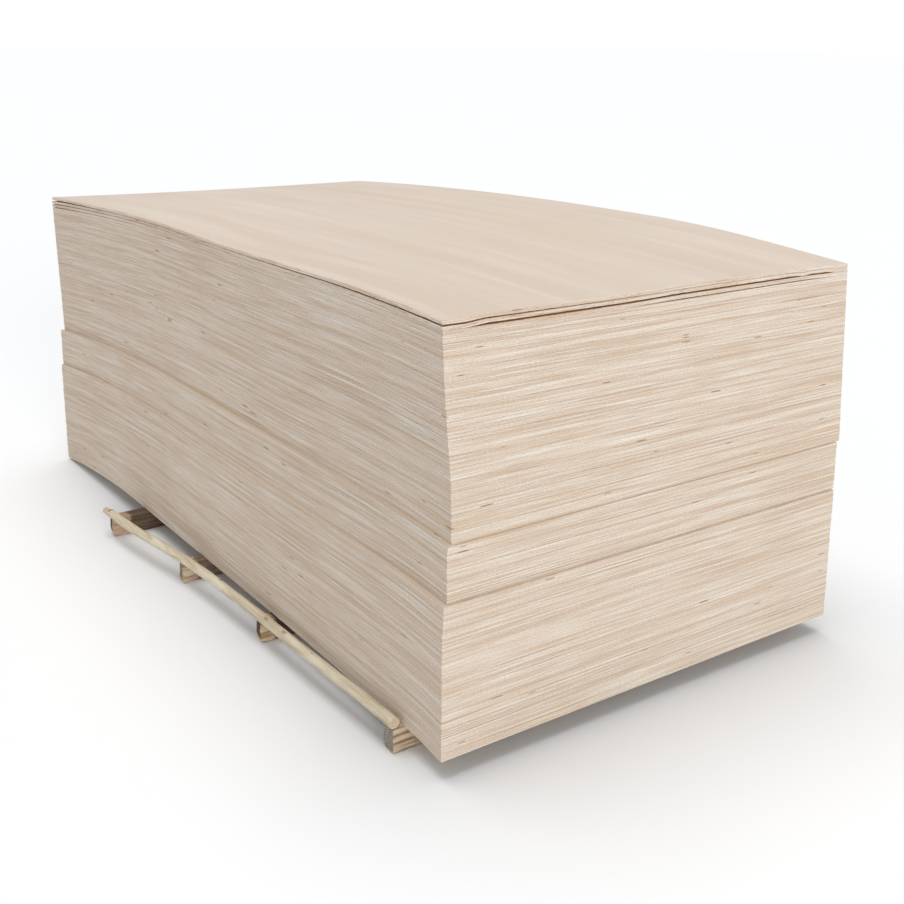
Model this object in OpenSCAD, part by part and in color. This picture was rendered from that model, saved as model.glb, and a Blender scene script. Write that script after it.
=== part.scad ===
// A stack of bowed plywood sheets on four timber bearers, with a peeled pole lying on the bearer ends.
// X runs along the sheets, from the drooping far end to the near end. Z = 0 is the floor.

/* [Sheets] */
// Length of a sheet, along its curve
sheet_l = 2440; // [1200:1:3200]
// Width of a sheet
sheet_w = 1220; // [600:1:1600]
// Thickness of a sheet
sheet_t = 8.5; // [3:0.1:25]
// Air between two sheets at the near end of the stack
sheet_gap = 0.5; // [0.4:0.05:0.6]
// Number of sheets in the lower bundle
lower_count = 39; // [1:1:60]
// Number of sheets in the middle bundle
middle_count = 14; // [1:1:60]
// Number of sheets in the upper bundle, without the three loose ones on it
upper_count = 49; // [1:1:60]

/* [Bundle steps] */
// How far the lower bundle is out of line with the top sheet, along and across the stack
lower_step = [21, -9]; // [-30:1:30]
// How far the middle bundle is out of line with the top sheet
middle_step = [13, -1]; // [-30:1:30]
// How far the foot of the upper bundle is out of line: it leans back from there to the top sheet
upper_foot_step = [8, 13]; // [-30:1:30]

/* [Bow] */
// Height of the lowest sheet's far edge above the floor
far_tip_clearance = 3; // [2:1:20]
// How far the lowest sheet has dropped below its level part at the near end of the stack
near_drop_lowest = 10; // [1:0.5:20]
// How far the highest sheet has dropped below its crest at the near end of the stack
near_drop_highest = 23.5; // [1:0.5:40]
// How much more the far end of the highest sheet drops than that of the lowest
far_drop_extra = 24; // [0:1:30]
// Distance of the highest sheet's crest from the near end
crest_inset = 650; // [300:10:1000]
// How far the three loose sheets on top spring up at their far ends, one after the other
loose_lift = 2.5; // [0:0.5:5]

/* [Bearers] */
// Width of a bearer, along the stack
bearer_w = 42; // [30:1:90]
// Height of a bearer
bearer_h = 60; // [40:1:120]
// Length of a bearer, across the stack
bearer_l = 1325; // [900:1:1800]
// Distance from the near end of the stack to the centre of each bearer
bearer_inset = [145, 766, 1211, 1640]; // [50:1:2600]
// How far each bearer sticks out on the pole's side
bearer_out = [38, 54, 79, 127]; // [20:1:200]

/* [Pole] */
// Diameter of the pole
pole_d = 28; // [20:1:60]
// How far the pole reaches past the centre of the last bearer
pole_over_far = 32; // [15:1:100]
// How far the pole reaches past the centre of the first bearer
pole_over_near = 19; // [5:1:50]
// Sideways bow of the pole between its ends
pole_bow = 24; // [5:1:40]
// Distance from a bearer's end to the pole's centre line, at the outer two bearers
pole_inset = 6; // [4:1:20]

/* [Hidden] */

arc_fn = 2880;
near_steps = 4;
far_steps = 12;
contact = 0.3;
loose_count = 3;
total = lower_count + middle_count + upper_count + loose_count;

near_end = sheet_l / 2;
last = len(bearer_inset) - 1;
function bearer_x(i) = near_end - bearer_inset[i];
function bearer_end_y(i) = -sheet_w / 2 - bearer_out[i];

// The level part of the lowest sheet lies on the bearers, and droops from the outer faces of the
// first and last one. The highest sheet has a crest instead of a level part.
near_start_lowest = bearer_x(0) + bearer_w / 2;
far_start_lowest = bearer_x(last) - bearer_w / 2;
near_start_highest = near_end - crest_inset;
far_start_highest = near_start_highest - 1;

// Layers counted from 0 at the bottom. share runs from 0 at the lowest to 1 at the highest.
function share(i) = i / (total - 1);
function between(low, high, i) = low + (high - low) * share(i);

// How far a layer is out of line with the top sheet
upper_first = lower_count + middle_count;
function step(i) =
    i < lower_count ? lower_step
    : i < upper_first ? middle_step
    : upper_foot_step * (total - 1 - i) / (total - 1 - upper_first);
function near_start(i) = between(near_start_lowest, near_start_highest, i);
function far_start(i) = between(far_start_lowest, far_start_highest, i);
function near_run(i) = near_end - near_start(i);
function far_run(i) = sheet_l - near_run(i) - (near_start(i) - far_start(i));
function near_drop(i) = between(near_drop_lowest, near_drop_highest, i);

// The lowest sheet's own far edge, out of line with the stack's, keeps its clearance to the floor
far_drop_lowest =
    (bearer_h - far_tip_clearance) * pow(far_run(0) / (far_run(0) - lower_step.x), 2);
function far_drop(i) = between(far_drop_lowest, far_drop_lowest + far_drop_extra, i);
function loose_rank(i) = max(0, i - (total - loose_count) + 1);

// Underside of a layer's level part. The near ends keep sheet_gap between them, and the crest
// takes what the growing droop adds.
crest_pitch = sheet_t + sheet_gap + (near_drop_highest - near_drop_lowest) / (total - 1);
function layer_z(i) = bearer_h + contact + i * crest_pitch;

// Drop of a layer's underside at x: a parabola beyond each start, and level between them. It goes
// by the stack's x and not by the sheet's, so that sheets out of line still lie on each other.
function fall(x, start, run, drop) = drop * pow(max(0, x - start) / run, 2);
function drop_at(x, i) =
    fall(x, near_start(i), near_run(i), near_drop(i))
    + fall(-x, -far_start(i), far_run(i), far_drop(i) - loose_lift * loose_rank(i));

// The curve makes a sheet a little shorter in plan than it is along its face
function far_end(i) = near_end - sheet_l + step(i).x + 2 / 3 * pow(far_drop(i), 2) / far_run(i);
function far_x(i, j) = far_start(i) + (far_end(i) - far_start(i)) * j / far_steps;
function near_x(i, j) = near_start(i) + (near_run(i) + step(i).x) * j / near_steps;
function stations(i) = [
    for (j = [far_steps : -1 : 0]) far_x(i, j),
    for (j = [0 : near_steps]) near_x(i, j)
];

// One whole sheet of a layer
module sheet(i) {
    underside = [for (x = stations(i)) [x, layer_z(i) - drop_at(x, i)]];
    face = [for (j = [len(underside) - 1 : -1 : 0]) underside[j] + [0, sheet_t]];
    translate([0, sheet_w / 2 + step(i).y, 0])
        rotate([90, 0, 0])
            linear_extrude(sheet_w) polygon(concat(underside, face));
}

module layers(first, count) {
    for (i = [first : first + count - 1]) sheet(i);
}

module bearer(i) {
    translate([bearer_x(i) - bearer_w / 2, bearer_end_y(i), 0]) cube([bearer_w, bearer_l, bearer_h]);
}

// The pole is an arc of a circle that lies flat, with its ends over the first and last bearer
pole_from = [bearer_x(last) - pole_over_far, bearer_end_y(last) + pole_inset];
pole_to = [bearer_x(0) + pole_over_near, bearer_end_y(0) + pole_inset];
pole_chord = norm(pole_to - pole_from);
pole_yaw = atan2(pole_to.y - pole_from.y, pole_to.x - pole_from.x);
pole_radius = (pole_chord * pole_chord / 4 + pole_bow * pole_bow) / (2 * pole_bow);
pole_sweep = 2 * asin(pole_chord / 2 / pole_radius);

module pole_body() {
    middle = (pole_from + pole_to) / 2;
    translate([middle.x, middle.y, bearer_h + contact + pole_d / 2])
        rotate([0, 0, pole_yaw])
            translate([0, pole_bow - pole_radius, 0])
                rotate([0, 0, 90 - pole_sweep / 2])
                    rotate_extrude(angle = pole_sweep, $fn = arc_fn)
                        translate([pole_radius, 0]) circle(d = pole_d, $fn = 32);
}

// The origin is the middle of the whole object's outline on the floor
all_layers = [0 : total - 1];
end_low = min([for (i = all_layers) far_end(i)]);
end_high = near_end + max([for (i = all_layers) step(i).x]);
side_low = min(
    min([for (i = [0 : last]) bearer_end_y(i)]),
    min(pole_from.y, pole_to.y) - pole_d / 2
);
side_high = max(
    max([for (i = [0 : last]) bearer_end_y(i) + bearer_l]),
    max([for (i = all_layers) sheet_w / 2 + step(i).y])
);
module placed() {
    translate([-(end_low + end_high) / 2, -(side_low + side_high) / 2, 0]) children();
}

module lower_bundle() {
    color("tan") placed() layers(0, lower_count);
}

module middle_bundle() {
    color("burlywood") placed() layers(lower_count, middle_count);
}

module upper_bundle() {
    color("wheat") placed() layers(upper_first, upper_count);
}

// The three loose sheets on top, counted from the top
module loose_sheet(n) {
    color("bisque") placed() layers(total - n, 1);
}

module bearer_piece(i) {
    color("peru") placed() bearer(i);
}

module pole() {
    color("khaki") placed() pole_body();
}

lower_bundle();
middle_bundle();
upper_bundle();
loose_sheet(3);  // third_sheet
loose_sheet(2);  // second_sheet
loose_sheet(1);  // top_sheet
bearer_piece(0);  // bearer_1
bearer_piece(1);  // bearer_2
bearer_piece(2);  // bearer_3
bearer_piece(3);  // bearer_4
pole();
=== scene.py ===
"""Looks of the stack of bowed plywood sheets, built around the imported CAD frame."""

import math

import bmesh
import bpy
import numpy as np
from mathutils import Matrix, Vector


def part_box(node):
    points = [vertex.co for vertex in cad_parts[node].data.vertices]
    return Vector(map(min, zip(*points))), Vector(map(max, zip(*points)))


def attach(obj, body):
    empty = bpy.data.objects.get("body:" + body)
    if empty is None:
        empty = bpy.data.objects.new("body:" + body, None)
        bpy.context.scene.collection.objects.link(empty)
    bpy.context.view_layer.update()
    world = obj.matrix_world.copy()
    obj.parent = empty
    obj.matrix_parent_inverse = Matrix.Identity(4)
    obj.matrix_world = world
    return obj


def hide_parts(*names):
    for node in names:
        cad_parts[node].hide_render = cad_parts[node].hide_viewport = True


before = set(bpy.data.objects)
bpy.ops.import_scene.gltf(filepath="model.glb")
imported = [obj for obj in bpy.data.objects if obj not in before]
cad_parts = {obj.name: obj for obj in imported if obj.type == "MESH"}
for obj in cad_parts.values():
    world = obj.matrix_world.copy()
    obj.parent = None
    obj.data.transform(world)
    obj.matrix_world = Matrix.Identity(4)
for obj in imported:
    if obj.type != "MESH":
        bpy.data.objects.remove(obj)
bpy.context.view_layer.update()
rng = np.random.default_rng(7)

SHEET_NODES = [
    "lower_bundle", "middle_bundle", "upper_bundle", "third_sheet", "second_sheet", "top_sheet"
]
BEARER_NODES = ["bearer_1", "bearer_2", "bearer_3", "bearer_4"]
MM = 0.001


# ---------------------------------------------------------------- node helpers

class Shader:
    """A material while its nodes are being made: each call adds one node and returns its output."""

    def __init__(self, name):
        self.material = bpy.data.materials.new(name)
        self.material.use_nodes = True
        self.tree = self.material.node_tree
        self.surface = self.tree.nodes["Principled BSDF"]

    def put(self, socket, value):
        if isinstance(value, bpy.types.NodeSocket):
            self.tree.links.new(value, socket)
        else:
            socket.default_value = value

    def add(self, kind, **settings):
        node = self.tree.nodes.new(kind)
        for name, value in settings.items():
            setattr(node, name, value)
        return node

    def place(self):
        """Where a point is on its piece: along the edge, height counted in sheets, and its warmth."""
        node = self.add("ShaderNodeAttribute", attribute_name="place")
        return self.split(node.outputs["Vector"])

    def object_place(self):
        """Where a point is in the frame: x, y and z in metres."""
        node = self.add("ShaderNodeTexCoord")
        return self.split(node.outputs["Object"])

    def split(self, vector):
        node = self.add("ShaderNodeSeparateXYZ")
        self.put(node.inputs[0], vector)
        return node.outputs[0], node.outputs[1], node.outputs[2]

    def point(self, x, y, z=0.0):
        node = self.add("ShaderNodeCombineXYZ")
        for socket, value in zip(node.inputs, (x, y, z)):
            self.put(socket, value)
        return node.outputs[0]

    def math(self, operation, a, b=0.0, c=0.0):
        node = self.add("ShaderNodeMath", operation=operation)
        for socket, value in zip(node.inputs, (a, b, c)):
            self.put(socket, value)
        return node.outputs[0]

    def noise(self, x, y, z=0.0, detail=2.0, roughness=0.5):
        node = self.add("ShaderNodeTexNoise")
        self.put(node.inputs["Vector"], self.point(x, y, z))
        self.put(node.inputs["Scale"], 1.0)
        self.put(node.inputs["Detail"], detail)
        self.put(node.inputs["Roughness"], roughness)
        return node.outputs["Fac"]

    def cells(self, x, y, z=0.0):
        """Distance to the nearest cell's centre, and a number of its own for each cell."""
        node = self.add("ShaderNodeTexVoronoi")
        self.put(node.inputs["Vector"], self.point(x, y, z))
        self.put(node.inputs["Scale"], 1.0)
        number = self.split(node.outputs["Color"])[0]
        return node.outputs["Distance"], number

    def ramp(self, value, low, high, to_low=0.0, to_high=1.0):
        node = self.add("ShaderNodeMapRange", interpolation_type="SMOOTHSTEP")
        for socket, number in zip(node.inputs, (value, low, high, to_low, to_high)):
            self.put(socket, number)
        return node.outputs[0]

    def mix(self, share, a, b, blend="MIX"):
        node = self.add("ShaderNodeMix", data_type="RGBA", blend_type=blend)
        self.put(node.inputs["Factor"], share)
        self.put(node.inputs["A"], (*a, 1.0) if isinstance(a, tuple) else a)
        self.put(node.inputs["B"], (*b, 1.0) if isinstance(b, tuple) else b)
        return node.outputs["Result"]

    def bump(self, height, depth):
        node = self.add("ShaderNodeBump")
        self.put(node.inputs["Height"], height)
        self.put(node.inputs["Distance"], depth)
        return node.outputs["Normal"]

    def finish(self, colour, roughness, normal):
        self.put(self.surface.inputs["Base Color"], colour)
        self.put(self.surface.inputs["Roughness"], roughness)
        self.put(self.surface.inputs["Normal"], normal)
        self.surface.inputs["Specular IOR Level"].default_value = 0.25
        return self.material


# ---------------------------------------------------------------- materials

CREAM = (0.60, 0.51, 0.42)
PALE = (0.665, 0.63, 0.572)
TAN = (0.485, 0.365, 0.265)
LINE_TAN = (0.40, 0.29, 0.20)
LINE_BROWN = (0.33, 0.215, 0.14)
KNOT_BROWN = (0.30, 0.16, 0.07)
WARM = (0.60, 0.46, 0.30)
FACE_LIGHT = (0.600, 0.520, 0.440)
FACE_DARK = (0.570, 0.470, 0.385)
FACE_FLAME = (0.655, 0.585, 0.510)
FACE_CLOUD = (0.600, 0.495, 0.380)
PLIES = 7


def plywood_edge():
    """Sawn edge of the sheets: short streaks along the plies, thin brown lines, knots, fibres."""
    s = Shader("plywood_edge")
    along, height, warm = s.place()
    ply = s.math("MULTIPLY", height, float(PLIES))
    bands = s.noise(s.math("MULTIPLY", along, 1.3), s.math("MULTIPLY", height, 0.62), 0.0, 4.0, 0.6)
    plies = s.noise(s.math("MULTIPLY", along, 3.2), s.math("MULTIPLY", ply, 0.42), 3.0, 4.0, 0.6)
    fine = s.noise(s.math("MULTIPLY", along, 9.0), s.math("MULTIPLY", ply, 1.1), 7.0, 3.0, 0.6)
    thin = s.noise(s.math("MULTIPLY", along, 1.6), s.math("MULTIPLY", ply, 1.25), 17.0, 2.0)
    lines = s.noise(s.math("MULTIPLY", along, 3.6), s.math("MULTIPLY", ply, 0.75), 11.0, 2.0)
    fibres = s.noise(s.math("MULTIPLY", along, 150.0), s.math("MULTIPLY", ply, 0.45), 5.0, 2.0, 0.7)
    colour = s.mix(s.ramp(bands, 0.38, 0.62, 0.0, 0.80), CREAM, TAN)
    colour = s.mix(s.ramp(plies, 0.48, 0.62, 0.0, 0.86), colour, PALE)
    colour = s.mix(s.ramp(fine, 0.50, 0.68, 0.0, 0.55), colour, TAN)
    colour = s.mix(s.ramp(thin, 0.58, 0.69, 0.0, 0.66), colour, LINE_TAN)
    colour = s.mix(s.ramp(lines, 0.62, 0.72, 0.0, 0.80), colour, LINE_BROWN)
    colour = s.mix(s.math("MULTIPLY", s.ramp(bands, 0.42, 0.58), warm), colour, WARM)
    distance, number = s.cells(s.math("MULTIPLY", along, 21.0), s.math("MULTIPLY", ply, 0.30))
    reach = s.ramp(number, 0.979, 1.0, 0.0, 0.44)
    knots = s.ramp(s.math("SUBTRACT", reach, distance), 0.0, 0.12)
    colour = s.mix(s.math("MULTIPLY", knots, 0.85), colour, KNOT_BROWN)
    shade = s.ramp(fibres, 0.22, 0.78, 0.87, 1.12)
    colour = s.mix(1.0, colour, s.point(shade, shade, shade), "MULTIPLY")
    relief = s.math("SUBTRACT", s.math("ADD", plies, fibres), s.math("MULTIPLY", knots, 2.0))
    return s.finish(colour, 0.75, s.bump(relief, 0.30 * MM))


def inner_veneer(name, light, dark):
    """A sheet's face inside the stack, seen only in an open gap or on a small ledge."""
    s = Shader(name)
    x, y, _ = s.object_place()
    strips = s.noise(s.math("MULTIPLY", x, 2.0), s.math("MULTIPLY", y, 40.0), 1.0, 3.0, 0.6)
    return s.finish(s.mix(s.ramp(strips, 0.35, 0.65), light, dark), 0.8, s.bump(strips, 0.1 * MM))


def face_veneer():
    """Sanded face veneer: faint long grain and a slight change of tone from strip to strip."""
    s = Shader("face_veneer")
    x, y, _ = s.object_place()
    strips = s.noise(s.math("MULTIPLY", x, 0.55), s.math("MULTIPLY", y, 5.5), 1.0, 3.0, 0.6)
    flames = s.noise(s.math("MULTIPLY", x, 1.3), s.math("MULTIPLY", y, 17.0), 4.0, 3.0, 0.6)
    pores = s.noise(s.math("MULTIPLY", x, 30.0), s.math("MULTIPLY", y, 900.0), 2.0, 2.0)
    clouds = s.noise(s.math("MULTIPLY", x, 1.1), s.math("MULTIPLY", y, 1.6), 9.0, 2.0)
    colour = s.mix(s.ramp(strips, 0.34, 0.66), FACE_LIGHT, FACE_DARK)
    colour = s.mix(s.ramp(flames, 0.45, 0.70, 0.0, 0.42), colour, FACE_FLAME)
    colour = s.mix(s.ramp(clouds, 0.45, 0.70, 0.0, 0.30), colour, FACE_CLOUD)
    shade = s.ramp(pores, 0.3, 0.7, 0.970, 1.022)
    colour = s.mix(1.0, colour, s.point(shade, shade, shade), "MULTIPLY")
    relief = s.math("ADD", pores, flames)
    return s.finish(colour, 0.62, s.bump(relief, 0.05 * MM))


def rough_timber(name, light, dark, inner, turn, seed):
    """Rough sawn bearer: grain along Y, brown late wood lines, and past turn a darker tone: painted
    shade of the stack and the pole, with some weathering.
    """
    s = Shader(name)
    x, y, z = s.object_place()
    across = s.math("ADD", s.math("MULTIPLY", x, 60.0), s.math("MULTIPLY", z, 105.0))
    rings = s.noise(across, s.math("MULTIPLY", y, 5.0), seed, 3.0, 0.55)
    fibres = s.noise(s.math("MULTIPLY", across, 7.0), s.math("MULTIPLY", y, 40.0), seed, 3.0, 0.6)
    patches = s.noise(s.math("MULTIPLY", x, 16.0), s.math("MULTIPLY", y, 22.0), seed + 5.0, 3.0)
    colour = s.mix(s.ramp(rings, 0.44, 0.60), light, dark)
    # Past turn, under the pole and the stack, the bearer is painted darker: painted shade of the
    # stack and the pole, with some weathering; the patches make that edge ragged.
    edge_y = s.math("ADD", y, s.math("MULTIPLY", patches, 0.02))
    stack_shade_tone = s.mix(s.ramp(rings, 0.40, 0.60), inner, tuple(0.55 * c for c in inner))
    colour = s.mix(s.ramp(edge_y, turn, turn + 0.012), colour, stack_shade_tone)
    shade = s.ramp(fibres, 0.25, 0.75, 0.72, 1.20)
    colour = s.mix(1.0, colour, s.point(shade, shade, shade), "MULTIPLY")
    return s.finish(colour, 0.85, s.bump(s.math("ADD", rings, fibres), 0.8 * MM))


def end_grain(name, light, dark, seed):
    """Cut end of a bearer: speckled end grain with growth rings."""
    s = Shader(name)
    x, y, z = s.object_place()
    arcs = s.math("SINE", s.math("MULTIPLY", s.math("ADD", z, s.math("MULTIPLY", x, 0.3)), 900.0))
    specks = s.noise(s.math("MULTIPLY", x, 420.0), s.math("MULTIPLY", z, 420.0), seed, 2.0, 0.7)
    colour = s.mix(s.ramp(specks, 0.42, 0.60), dark, light)
    colour = s.mix(s.ramp(arcs, 0.0, 1.0, 0.0, 0.35), colour, dark)
    return s.finish(colour, 0.9, s.bump(specks, 0.8 * MM))


POLE_LIGHT = (0.60, 0.53, 0.40)
POLE_DARK = (0.45, 0.37, 0.255)
POLE_PATCH = (0.66, 0.60, 0.47)
POLE_SPECK = (0.22, 0.13, 0.07)
POLE_KNOT = (0.15, 0.09, 0.055)
# The dark knot on top of the pole, near its far end.
POLE_KNOT_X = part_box("pole")[0].x + 0.040
POLE_KNOT_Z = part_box("pole")[1].z - 0.008


def peeled_wood():
    """Peeled pole: pale yellow wood with shallow grain lines, bast flecks and small dark specks."""
    s = Shader("peeled_wood")
    x, y, z = s.object_place()
    grain = s.noise(s.math("MULTIPLY", x, 7.0), s.math("MULTIPLY", y, 150.0),
                    s.math("MULTIPLY", z, 150.0), 3.0, 0.6)
    patches = s.noise(s.math("MULTIPLY", x, 9.0), s.math("MULTIPLY", y, 30.0),
                      s.math("MULTIPLY", z, 30.0), 2.0)
    distance, number = s.cells(s.math("MULTIPLY", x, 22.0), s.math("MULTIPLY", y, 60.0),
                               s.math("MULTIPLY", z, 60.0))
    specks = s.ramp(s.math("SUBTRACT", s.ramp(number, 0.80, 1.0, 0.0, 0.30), distance), 0.0, 0.1)
    colour = s.mix(s.ramp(grain, 0.35, 0.68), POLE_LIGHT, POLE_DARK)
    colour = s.mix(s.ramp(patches, 0.48, 0.68, 0.0, 0.7), colour, POLE_PATCH)
    colour = s.mix(s.math("MULTIPLY", specks, 0.65), colour, POLE_SPECK)
    knot = s.ramp(s.math("ABSOLUTE", s.math("SUBTRACT", x, POLE_KNOT_X)), 0.004, 0.008, 1.0, 0.0)
    top = s.ramp(z, POLE_KNOT_Z, POLE_KNOT_Z + 0.004)
    colour = s.mix(s.math("MULTIPLY", s.math("MULTIPLY", knot, top), 0.85), colour, POLE_KNOT)
    return s.finish(colour, 0.6, s.bump(s.math("SUBTRACT", grain, specks), 0.7 * MM))


# ---------------------------------------------------------------- meshes

class Parts:
    """Vertices and faces of one piece, with a material number and a place for each corner."""

    def __init__(self):
        self.verts, self.faces, self.slots, self.places = [], [], [], []
        self.count = 0

    def points(self, array):
        first = self.count
        self.verts.append(np.asarray(array, float).reshape(-1, 3))
        self.count += len(self.verts[-1])
        return first

    def quads(self, corners, slot, places):
        """Four vertex numbers and four places for each face, as arrays."""
        self.faces.append(np.asarray(corners).reshape(-1, 4))
        self.slots.append(np.full(len(self.faces[-1]), slot))
        self.places.append(np.asarray(places, float).reshape(-1, 3))

    def piece(self, name, materials):
        verts, faces = np.concatenate(self.verts), np.concatenate(self.faces)
        mesh = bpy.data.meshes.new(name)
        mesh.from_pydata(verts.tolist(), [], faces.tolist())
        mesh.polygons.foreach_set("material_index", np.concatenate(self.slots).astype(np.int32))
        place = mesh.attributes.new("place", "FLOAT_VECTOR", "CORNER")
        place.data.foreach_set("vector", np.concatenate(self.places).astype(np.float32).ravel())
        for material in materials:
            mesh.materials.append(material)
        mesh.update()
        obj = bpy.data.objects.new(name, mesh)
        bpy.context.scene.collection.objects.link(obj)
        return obj


def cad_sheets(node):
    """The sheets of a CAD node, the lowest first, with the stations of the underside."""
    bm = bmesh.new()
    bm.from_mesh(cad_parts[node].data)
    bmesh.ops.remove_doubles(bm, verts=bm.verts, dist=0.01 * MM)
    left, sheets = set(bm.verts), []
    while left:
        front, island = [left.pop()], []
        while front:
            vert = front.pop()
            island.append(vert.co.copy())
            near = [e.other_vert(vert) for e in vert.link_edges]
            fresh = [v for v in near if v in left]
            left.difference_update(fresh)
            front += fresh
        co = np.array(island)
        side = co[co[:, 1] < co[:, 1].mean()]
        x = np.unique(side[:, 0].round(6))
        column = [side[np.abs(side[:, 0] - at) < 0.01 * MM, 2] for at in x]
        low, high = np.array([c.min() for c in column]), np.array([c.max() for c in column])
        sheets.append(dict(
            x=x, z=low, thick=(high - low).mean(), side_low=co[:, 1].min(), side_high=co[:, 1].max()
        ))
    bm.free()
    return sorted(sheets, key=lambda sheet: sheet["z"].max())


def smooth(x, xs, ys):
    """A smooth curve through the stations, for the sheet's bow between them."""
    slopes = np.gradient(ys, xs)
    k = np.clip(np.searchsorted(xs, x) - 1, 0, len(xs) - 2)
    width = xs[k + 1] - xs[k]
    t = (x - xs[k]) / width
    return (
        ys[k] * (1 + 2 * t) * (1 - t) ** 2 + ys[k + 1] * t * t * (3 - 2 * t)
        + width * (slopes[k] * t * (1 - t) ** 2 - slopes[k + 1] * t * t * (1 - t))
    )


TOP_LOW, TOP_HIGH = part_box("top_sheet")
STACK_LOW, STACK_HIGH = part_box("lower_bundle")[0], TOP_HIGH
FAR_END, NEAR_END = TOP_LOW.x, TOP_HIGH.x
SIDE_MIDDLE = (TOP_LOW.y + TOP_HIGH.y) / 2
HALF_WIDTH = (TOP_HIGH.y - TOP_LOW.y) / 2

# How many mm further the top bows down away from its crest, along X.
DROOP = (np.array([-1.23, -0.6, 0.0, 0.3, 0.62, 0.8, 1.0, 1.23]),
         np.array([12.5, 11.5, 7.5, 5.0, 1.5, 2.5, 5.5, 6.0]))
# On the pole's side, in mm: how much lower it lies round the crest, and how much that is made
# good at its two ends.
CREST_SAG, CREST_X, CREST_REACH = 23.8, 0.39, 0.7
NEAR_RISE, FAR_RISE = 5.2, 6.8


def side_sag(x, y, z):
    """How much lower the upper sheets lie than in the CAD: most on the pole's side at the crest."""
    share = np.clip((z - STACK_LOW.z) / (STACK_HIGH.z - STACK_LOW.z), 0, 1)
    left = np.clip(0.5 - (y - SIDE_MIDDLE) / (2 * HALF_WIDTH), 0, 1)
    crest = CREST_SAG * np.exp(-(((x - CREST_X) / CREST_REACH) ** 2))
    near, far = np.clip((x - 0.59) / 0.62, 0, 1), np.clip((-x - 0.61) / 0.62, 0, 1)
    droop = smooth(x, *DROOP) * (1 - 0.6 * left ** 2)
    pole_side = left * (crest - NEAR_RISE * near) - FAR_RISE * left ** 3 * far ** 2
    return share * (pole_side + droop) * MM


def window(value, low, high, soft):
    """1 between low and high, with soft shoulders outside them."""
    t = np.clip(np.minimum(value - low, high - value) / soft + 1, 0, 1)
    return t * t * (3 - 2 * t)


def lift(from_top, x, y):
    """How far the loose top sheets stand up at the near edge, the near corner and the far corner."""
    near = np.clip(1 - (NEAR_END - x) / 0.45, 0, 1) ** 2
    near_long = np.clip(1 - (NEAR_END - x) / 1.15, 0, 1) ** 0.6
    far = np.clip(1 - (x - FAR_END) / 0.75, 0, 1) ** 2
    across = y - SIDE_MIDDLE
    pole_side = np.clip(0.5 - across / (2 * HALF_WIDTH), 0, 1)
    up = np.zeros(np.broadcast(x, y).shape)
    if from_top == 0:
        up = up + near * 0.5 * window(across, -0.62, -0.20, 0.30) + far * 2.2 * pole_side ** 3
        up = up + near_long * 3.2 * pole_side ** 5
    if from_top <= 1:
        long_gap = 4.2 * window(across, -0.50, 0.40, 0.06)
        end_gap = 3.4 * window(across, 0.47, 0.53, 0.03)
        up = up + near * (long_gap + end_gap)
    if from_top <= 2:
        up = up + near * 2.3 * window(across, 0.05, 0.42, 0.18)
    return up * MM


# All sheets but the top two are this much thicker than in the CAD, so their seams look closed.
FILLED_GAP = 0.35 * MM
# How far the top sheet's upper edge is worn round on the pole's side.
POLE_SIDE_ROUNDED = 2.5 * MM
# Sheets with a warmer edge, by their number from the floor up.
WARM_SHEETS = {53: 0.3, 57: 0.25, 71: 0.25}
# How many mm some sheets are drawn in, by their number: at the far end, and on the pole's side,
# where it is the most at the near end and fades to nothing at the far end.
FAR_END_SHORT = ([0, 20, 38], [12.0, 6.0, 0.0])
POLE_SIDE_SHORT = ([30, 38, 39, 50, 52, 53, 63, 69, 75, 80, 85, 95],
                   [0.0, 3.0, 8.0, 8.0, 9.5, 8.0, 9.6, 9.6, 7.2, 4.8, 2.4, 0.0])
# Levels of a sheet's edge, and which of them stand back a little as the softer plies do.
ROW_SHARES = np.array([0.0, 0.07, 0.22, 0.36, 0.5, 0.64, 0.78, 0.93, 1.0])
ROW_SET_BACK = np.array([0, 0, 1, 0, 1, 0, 1, 0, 0])
WANDER = 0.4 * MM
# In mm: least and most that an edge is drawn in, that a ply stands back and that a chip is deep.
EDGE_INSET, PLY_RELIEF, CHIP_DEPTH = (0.45, 1.2), (0.05, 0.3), (0.5, 1.6)
ARRIS_SIZES, ARRIS_ODDS = [0.08, 0.2, 0.7], [0.5, 0.35, 0.15]
# The material numbers of a sheet.
FACE, EDGE, INSIDE = 0, 1, 2


def wander(count):
    """A slow random wave along a sawn edge."""
    knots = rng.uniform(-WANDER, WANDER, 6)
    return np.interp(np.linspace(0, 5, count), np.arange(6), knots)


def ring_of(along_x, along_y):
    """Grid places round the rim, counter-clockwise seen from above, from the far corner."""
    i, j = np.arange(along_x), np.arange(along_y)
    return np.concatenate([
        np.stack([i[:-1], np.zeros(along_x - 1, int)], 1),
        np.stack([np.full(along_y - 1, along_x - 1), j[:-1]], 1),
        np.stack([i[:0:-1], np.full(along_x - 1, along_y - 1)], 1),
        np.stack([np.zeros(along_y - 1, int), j[:0:-1]], 1),
    ])


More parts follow.
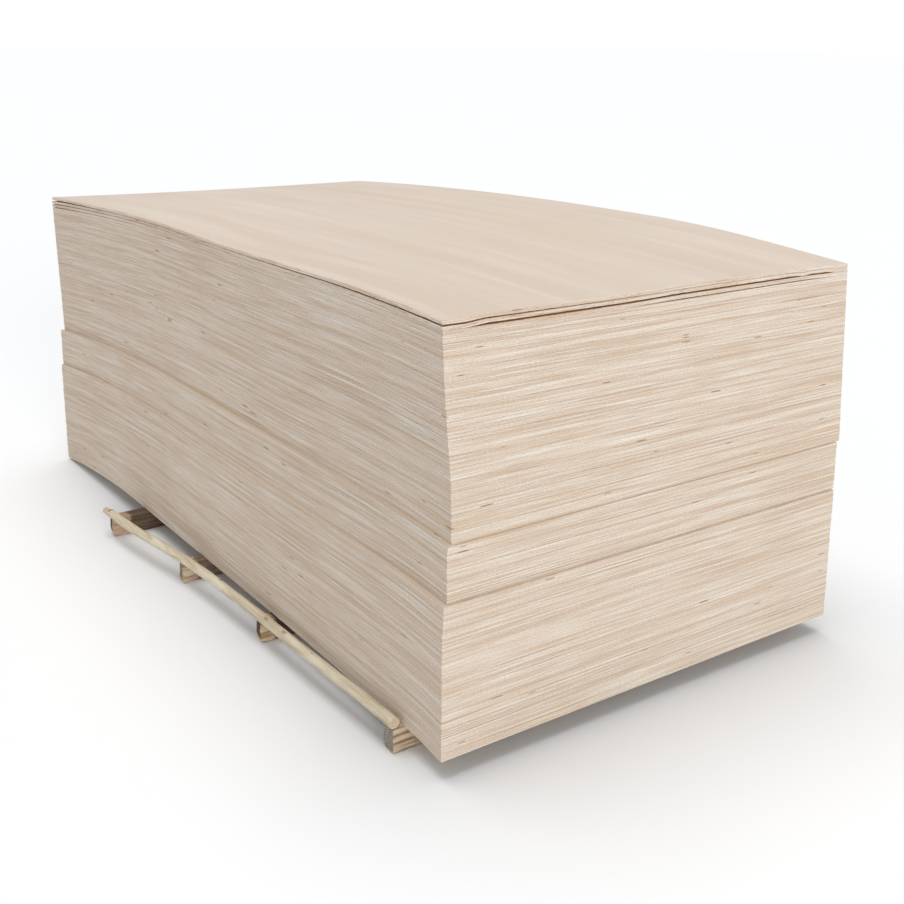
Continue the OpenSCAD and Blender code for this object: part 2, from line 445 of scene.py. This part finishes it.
def sheet_grid(sheet, number, from_top, along_x, along_y):
    """A sheet's points in plan, drawn in at its edges, and the height of its underside there."""
    x = np.linspace(sheet["x"][0], sheet["x"][-1], along_x)
    y = np.linspace(sheet["side_low"], sheet["side_high"], along_y)
    inset = rng.uniform(*EDGE_INSET, 4) * MM
    grid_x = np.repeat(x[:, None], along_y, 1)
    grid_y = np.repeat(y[None, :], along_x, 0)
    grid_x[0] += inset[0] + wander(along_y) + np.interp(number, *FAR_END_SHORT) * MM
    grid_x[-1] -= inset[1] + wander(along_y)
    towards_near = np.clip((x + 1.2) / 2.4, 0, 1)
    short = np.interp(number, *POLE_SIDE_SHORT) * towards_near
    grid_y[:, 0] += inset[2] + wander(along_x) + short * MM
    grid_y[:, -1] -= inset[3] + wander(along_x)
    under = smooth(grid_x, sheet["x"], sheet["z"])
    under = under - side_sag(grid_x, grid_y, under) + lift(from_top, grid_x, grid_y)
    return grid_x, grid_y, under


def outward(place, last):
    """-1 at the first place, 1 at the last and 0 between."""
    return np.where(place == 0, -1.0, np.where(place == last, 1.0, 0.0))


def edge_rows(grids, ring, thick, from_top, chips):
    """The rim's points at each level of the edge, with a worn arris and slightly uneven plies."""
    along_x, along_y = grids[0].shape
    rim_x, rim_y, rim_z = (a[ring[:, 0], ring[:, 1]] for a in grids)
    out_x, out_y = outward(ring[:, 0], along_x - 1), outward(ring[:, 1], along_y - 1)
    arris = rng.choice(ARRIS_SIZES, 2, p=ARRIS_ODDS) * MM
    relief = ROW_SET_BACK * rng.uniform(*PLY_RELIEF) * MM
    relief[0], relief[-1] = arris
    broken = (rng.random((len(ROW_SHARES), len(ring))) < chips) * rng.uniform(*CHIP_DEPTH) * MM
    rounded = np.where(out_y < 0, POLE_SIDE_ROUNDED, 0.0) * (from_top == 0)
    return [
        np.stack([
            rim_x - out_x * (relief[r] + broken[r]),
            rim_y - out_y * (relief[r] + broken[r] + rounded * share ** 3),
            rim_z + share * thick
        ], 1)
        for r, share in enumerate(ROW_SHARES)
    ]


def add_edges(parts, levels, rim, number):
    """The faces round the sheet's edge; their places give the streaks and plies their scale."""
    lengths = np.linalg.norm(np.roll(rim, -1, 0) - rim, axis=1)
    start = np.concatenate([[0], np.cumsum(lengths)])
    for r in range(len(ROW_SHARES) - 1):
        low, high = levels[r], levels[r + 1]
        quads = np.stack([low, np.roll(low, -1), np.roll(high, -1), high], 1)
        places = np.zeros((len(rim), 4, 3))
        places[:, 0, 0] = places[:, 3, 0] = start[:-1]
        places[:, 1, 0] = places[:, 2, 0] = start[1:]
        places[:, :2, 1] = number + ROW_SHARES[r]
        places[:, 2:, 1] = number + ROW_SHARES[r + 1]
        places[:, :, 2] = WARM_SHEETS.get(number, 0.0)
        parts.quads(quads, EDGE, places)


def add_sheet(parts, sheet, number, from_top, steps, chips):
    """One closed, bowed sheet with sawn edges."""
    along_x, along_y = steps
    grid_x, grid_y, under = sheet_grid(sheet, number, from_top, along_x, along_y)
    thick = sheet["thick"] + (FILLED_GAP if from_top > 1 else 0.0)
    ring = ring_of(along_x, along_y)
    around = ring[:, 0], ring[:, 1]
    rows = edge_rows((grid_x, grid_y, under), ring, thick, from_top, chips)
    grids = []
    for r in (0, len(ROW_SHARES) - 1):
        face = np.stack([grid_x, grid_y, under + ROW_SHARES[r] * thick], 2)
        face[around] = rows[r]
        grids.append(parts.points(face) + np.arange(along_x * along_y).reshape(along_x, along_y))
        a, b = grids[-1][:-1, :-1], grids[-1][1:, :-1]
        c, d = grids[-1][1:, 1:], grids[-1][:-1, 1:]
        quads = np.stack([a, b, c, d] if r else [a, d, c, b], 2)
        outside = r > 0 and from_top == 0
        parts.quads(quads, FACE if outside else INSIDE, np.zeros((quads.size, 3)))
    between = [parts.points(row) + np.arange(len(ring)) for row in rows[1:-1]]
    levels = [grids[0][around], *between, grids[1][around]]
    add_edges(parts, levels, np.stack([grid_x[around], grid_y[around]], 1), number)


def sheets_piece(node, first_number, total, materials):
    """The looks of one CAD node's sheets; a loose sheet, alone in its node, is made finer."""
    sheets = cad_sheets(node)
    loose = len(sheets) == 1
    steps, chips = ((121, 121), 0.07) if loose else ((33, 15), 0.0)
    parts = Parts()
    for number, sheet in enumerate(sheets, first_number):
        add_sheet(parts, sheet, number, total - 1 - number, steps, chips)
    veneer, edge, gap_painted_shade, ledge = materials
    piece = parts.piece(node + "_looks", [veneer, edge, gap_painted_shade if loose else ledge])
    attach(piece, "root")
    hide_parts(node)
    return len(sheets)


# ---------------------------------------------------------------- bearers and pole

def finished(bm, name, materials):
    """The object made of a finished bmesh."""
    bmesh.ops.recalc_face_normals(bm, faces=bm.faces)
    mesh = bpy.data.meshes.new(name)
    bm.to_mesh(mesh)
    bm.free()
    for material in materials:
        mesh.materials.append(material)
    piece = bpy.data.objects.new(name, mesh)
    bpy.context.scene.collection.objects.link(piece)
    return piece


SIDE_POINTS = 7
WORN_CORNER = 2.5 * MM
BEARER_STEPS = np.concatenate([[0, 2, 5, 9, 14, 20, 28], np.arange(40, 1300, 20)]) * MM
SKEW_REACH = 40 * MM


def timber_ring(low, high):
    """Cross-section of a bearer, counter-clockwise, with worn corners; x and z from its middle."""
    half_x, half_z = (high.x - low.x) / 2 - 0.5 * MM, (high.z - low.z) / 2
    side = np.stack([np.full(SIDE_POINTS, 1.0), np.linspace(-1, 1, SIDE_POINTS)], 1)
    ring = []
    for turn in range(4):
        c, n = round(math.cos(turn * math.pi / 2)), round(math.sin(turn * math.pi / 2))
        ring.append(np.stack([c * side[:, 0] - n * side[:, 1], n * side[:, 0] + c * side[:, 1]], 1))
    ring = np.concatenate(ring)
    reach = np.array([half_x, half_z])
    core = np.clip(ring * reach, -(reach - WORN_CORNER), reach - WORN_CORNER)
    out = ring * reach - core
    length = np.maximum(np.linalg.norm(out, axis=1, keepdims=True), 1e-9)
    return core + out / length * np.minimum(length, WORN_CORNER)


def timber_piece(node, materials, skew, chip, heel, seed):
    """A rough sawn bearer: uneven faces, worn edges, a skewed pole-side end with a rounded heel."""
    low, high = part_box(node)
    ring = timber_ring(low, high)
    reach = high.y - low.y
    steps = np.append(BEARER_STEPS[BEARER_STEPS < reach - 0.01], [reach - 3 * MM, reach])
    local = np.random.default_rng(seed)
    middle_x, middle_z = (low.x + high.x) / 2, (low.z + high.z) / 2
    bm = bmesh.new()
    rings = []
    for at in steps:
        fade = max(0.0, 1 - at / SKEW_REACH)
        rough = 1 - 0.02 * local.random(len(ring)) - 0.008 * (1 + math.sin(at * 23 + seed))
        end_in = chip * MM * local.random(len(ring)) * (at == 0)
        low_heel = heel * MM * max(0.0, 1 - math.sqrt(min(1.0, at / (heel * MM))))
        verts = []
        for k, (x, z) in enumerate(ring):
            share = (z / (high.z - low.z)) + 0.5
            flat = abs(share - 0.5) > 0.49
            height = middle_z + z * (1 if flat else rough[k]) + low_heel * (1 - share)
            y = low.y + at + fade * skew * MM * (0.5 - x / (high.x - low.x)) + end_in[k]
            verts.append(bm.verts.new((middle_x + x * rough[k], y, height)))
        rings.append(verts)
    for a, b in zip(rings, rings[1:]):
        for k in range(len(ring)):
            bm.faces.new((a[k], a[(k + 1) % len(ring)], b[(k + 1) % len(ring)], b[k]))
    for face in (bm.faces.new(rings[0]), bm.faces.new(rings[-1][::-1])):
        face.material_index = 1
    bmesh.ops.remove_doubles(bm, verts=bm.verts, dist=0.02 * MM)
    piece = finished(bm, node + "_looks", materials)
    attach(piece, "root")
    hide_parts(node)


POLE_STATIONS, POLE_AROUND = 150, 28
POLE_NEAR_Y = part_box("bearer_1")[0].y + 0.006
# Along the pole from its far end, as a share of its length: how far it bends off the straight
# line, and how thick it is; the step near the far end is the whittled tip with its knot.
POLE_BEND = (np.array([0.0, 0.10, 0.32, 0.58, 0.78, 0.90, 1.0]),
             np.array([-3.2, -2.0, 22.0, 20.0, 9.5, 5.0, 0.0]) * MM)
POLE_THICKNESS = ([0, 0.014, 0.018, 0.024, 0.034, 1], [0.80, 0.84, 0.86, 1.0, 0.97, 1.0])


def pole_rings(bm):
    """The pole's cross-sections as rings of new vertices, uneven in size and outline."""
    low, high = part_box("pole")
    radius = (high.z - low.z) / 2
    along = np.linspace(0, 1, POLE_STATIONS)
    x = low.x + 0.6 * MM + along * (high.x - low.x - 1.2 * MM)
    chord = (low.y + radius) + along * (POLE_NEAR_Y - low.y - radius)
    y = chord + smooth(along, *POLE_BEND)
    local = np.random.default_rng(3)
    swell = 1 - 0.06 * np.abs(np.interp(along * 14, np.arange(15), local.uniform(-1, 1, 15)))
    swell *= np.interp(along, *POLE_THICKNESS)
    angle = np.linspace(0, 2 * math.pi, POLE_AROUND, endpoint=False)
    lumps = 1 - 0.05 * local.random((POLE_STATIONS, POLE_AROUND))
    lumps = (lumps + np.roll(lumps, 1, 0) + np.roll(lumps, 1, 1) + np.roll(lumps, -1, 0)) / 4
    rings = []
    for k in range(POLE_STATIONS):
        r = radius * swell[k] * lumps[k]
        z = low.z + radius * swell[k] + 0.1 * MM
        rings.append([
            bm.verts.new((x[k], y[k] + r[a] * math.cos(angle[a]), z + r[a] * math.sin(angle[a])))
            for a in range(POLE_AROUND)
        ])
    return rings


def pole_piece(materials):
    """The peeled pole: an uneven round bar with most of its bend in its far third."""
    bm = bmesh.new()
    rings = pole_rings(bm)
    for a, b in zip(rings, rings[1:]):
        for k in range(POLE_AROUND):
            after = (k + 1) % POLE_AROUND
            bm.faces.new((a[k], b[k], b[after], a[after]))
    ends = [bm.faces.new(rings[0]), bm.faces.new(rings[-1][::-1])]
    for face in ends:
        face.material_index = 1
    rim = list({e for f in ends for e in f.edges})
    bmesh.ops.bevel(bm, geom=rim, offset=0.6 * MM, segments=1, affect="EDGES", material=0)
    piece = finished(bm, "pole_looks", materials)
    sides = piece.data.polygons
    sides.foreach_set("use_smooth", [len(face.vertices) == 4 for face in sides])
    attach(piece, "root")
    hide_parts("pole")


# ---------------------------------------------------------------- studio

# The photograph's viewpoint: place in metres, view direction and roll in degrees, lens in mm.
CAMERA_PLACE = (3.1943, -1.9084, 1.5633)
CAMERA_HEADING, CAMERA_DOWN, CAMERA_ROLL = 143.834, 13.218, 0.973
SENSOR_WIDTH, LENS = 36.0, 50.32
SHIFT = (-0.0442, -0.1478)
# Direction towards the light, strength, spread in degrees and colour.
OVERHEAD = ((-0.18, 0.0, 1.0), 2.28, 54.0, (1.0, 1.0, 1.0))
LOW_SIDE = ((0.95, -0.21, 0.13), 2.35, 30.0, (1.0, 1.0, 0.99))
FILL_COLOUR, FILL = (0.975, 0.985, 1.0, 1.0), 0.47
SEEN_COLOUR, SEEN = (1.0, 1.0, 1.0, 1.0), 1.05
FLOOR_LOW, FLOOR_HIGH = (0.775, 0.78, 0.785), (0.785, 0.79, 0.795)
FLOOR_REACH = 60.0


def make_camera():
    data = bpy.data.cameras.new("camera")
    data.sensor_width = SENSOR_WIDTH
    data.lens = LENS
    data.shift_x, data.shift_y = SHIFT
    data.clip_start, data.clip_end = 0.1, 200.0
    obj = bpy.data.objects.new("camera", data)
    turn = Matrix.Rotation(math.radians(CAMERA_HEADING - 90), 4, "Z")
    tilt = Matrix.Rotation(math.radians(90 - CAMERA_DOWN), 4, "X")
    roll = Matrix.Rotation(math.radians(CAMERA_ROLL), 4, "Z")
    obj.matrix_world = Matrix.Translation(CAMERA_PLACE) @ turn @ tilt @ roll
    bpy.context.scene.collection.objects.link(obj)
    bpy.context.scene.camera = obj


def make_sun(name, towards, strength, spread, colour):
    """A distant light of a wide disc, so its shadows are soft and the floor is evenly lit."""
    data = bpy.data.lights.new(name, "SUN")
    data.angle = math.radians(spread)
    data.energy = strength
    data.color = colour
    obj = bpy.data.objects.new(name, data)
    obj.rotation_euler = Vector(towards).to_track_quat("Z", "Y").to_euler()
    bpy.context.scene.collection.objects.link(obj)


def make_surround():
    """An even white surround; the camera sees it clear white, the pieces a little dimmer."""
    world = bpy.data.worlds.new("surround")
    bpy.context.scene.world = world
    world.use_nodes = True
    tree = world.node_tree
    fill = tree.nodes["Background"]
    fill.inputs["Color"].default_value = FILL_COLOUR
    fill.inputs["Strength"].default_value = FILL
    white = tree.nodes.new("ShaderNodeBackground")
    white.inputs["Color"].default_value = SEEN_COLOUR
    white.inputs["Strength"].default_value = SEEN
    seen = tree.nodes.new("ShaderNodeLightPath")
    choose = tree.nodes.new("ShaderNodeMixShader")
    tree.links.new(seen.outputs["Is Camera Ray"], choose.inputs["Fac"])
    tree.links.new(fill.outputs["Background"], choose.inputs[1])
    tree.links.new(white.outputs["Background"], choose.inputs[2])
    tree.links.new(choose.outputs["Shader"], tree.nodes["World Output"].inputs["Surface"])


def make_studio():
    """A pale floor and surround, a wide light overhead and another low on the near end's side."""
    scene = bpy.context.scene
    make_surround()
    make_sun("overhead", *OVERHEAD)
    make_sun("side", *LOW_SIDE)
    scene.view_settings.view_transform = "Standard"
    mesh = bpy.data.meshes.new("floor")
    corners = [(-1, -1), (1, -1), (1, 1), (-1, 1)]
    mesh.from_pydata([(x * FLOOR_REACH, y * FLOOR_REACH, 0) for x, y in corners], [], [(0, 1, 2, 3)])
    floor = bpy.data.objects.new("floor", mesh)
    scene.collection.objects.link(floor)
    s = Shader("studio_floor")
    mottle = s.noise(*s.object_place()[:2])
    mesh.materials.append(s.finish(s.mix(mottle, FLOOR_LOW, FLOOR_HIGH), 0.9, s.bump(mottle, 0.0)))


# ---------------------------------------------------------------- the stack

sheet_materials = [
    face_veneer(),
    plywood_edge(),
    # The faces inside the gaps between the loose top sheets are darker and browner than the real
    # veneer: painted warm shade of light bounced inside the gaps.
    inner_veneer("gap_painted_shade", (0.62, 0.35, 0.17), (0.46, 0.25, 0.12)),
    inner_veneer("ledge", (0.60, 0.49, 0.385), (0.52, 0.42, 0.325)),
]
total = sum(len(cad_sheets(node)) for node in SHEET_NODES)
made = 0
for node in SHEET_NODES:
    made += sheets_piece(node, made, total, sheet_materials)

# Light wood, late wood lines, the darker inner tone (painted shade of the stack and the pole, with
# some weathering), where it starts in mm from the end, then the end's light and dark grain, its skew,
# its chipping and the radius of its rounded heel, in mm.
BEARER_LOOKS = [
    ((0.50, 0.40, 0.28), (0.23, 0.14, 0.085), (0.44, 0.34, 0.24), 60,
     (0.50, 0.45, 0.38), (0.15, 0.12, 0.095), 2.0, 2.5, 5.0),
    ((0.53, 0.40, 0.25), (0.24, 0.14, 0.08), (0.10, 0.068, 0.046), 46,
     (0.17, 0.12, 0.085), (0.06, 0.043, 0.032), 9.0, 4.0, 16.0),
    ((0.50, 0.40, 0.29), (0.27, 0.17, 0.105), (0.23, 0.165, 0.115), 54,
     (0.42, 0.34, 0.25), (0.20, 0.14, 0.10), 9.0, 6.0, 6.0),
    ((0.42, 0.29, 0.205), (0.26, 0.165, 0.11), (0.135, 0.09, 0.058), 62,
     (0.13, 0.09, 0.065), (0.05, 0.037, 0.028), 9.0, 3.0, 20.0),
]
for number, (node, looks) in enumerate(zip(BEARER_NODES, BEARER_LOOKS)):
    light, dark, inner, turn, end_light, end_dark, skew, chip, heel = looks
    at_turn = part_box(node)[0].y + turn * MM
    timber = rough_timber(node + "_timber", light, dark, inner, at_turn, 3.0 * number)
    end = end_grain(node + "_end", end_light, end_dark, 3.0 * number)
    timber_piece(node, [timber, end], skew, chip, heel, number)

pole_end = end_grain("pole_end", (0.50, 0.41, 0.29), (0.42, 0.33, 0.22), 20.0)
pole_piece([peeled_wood(), pole_end])

make_studio()
make_camera()
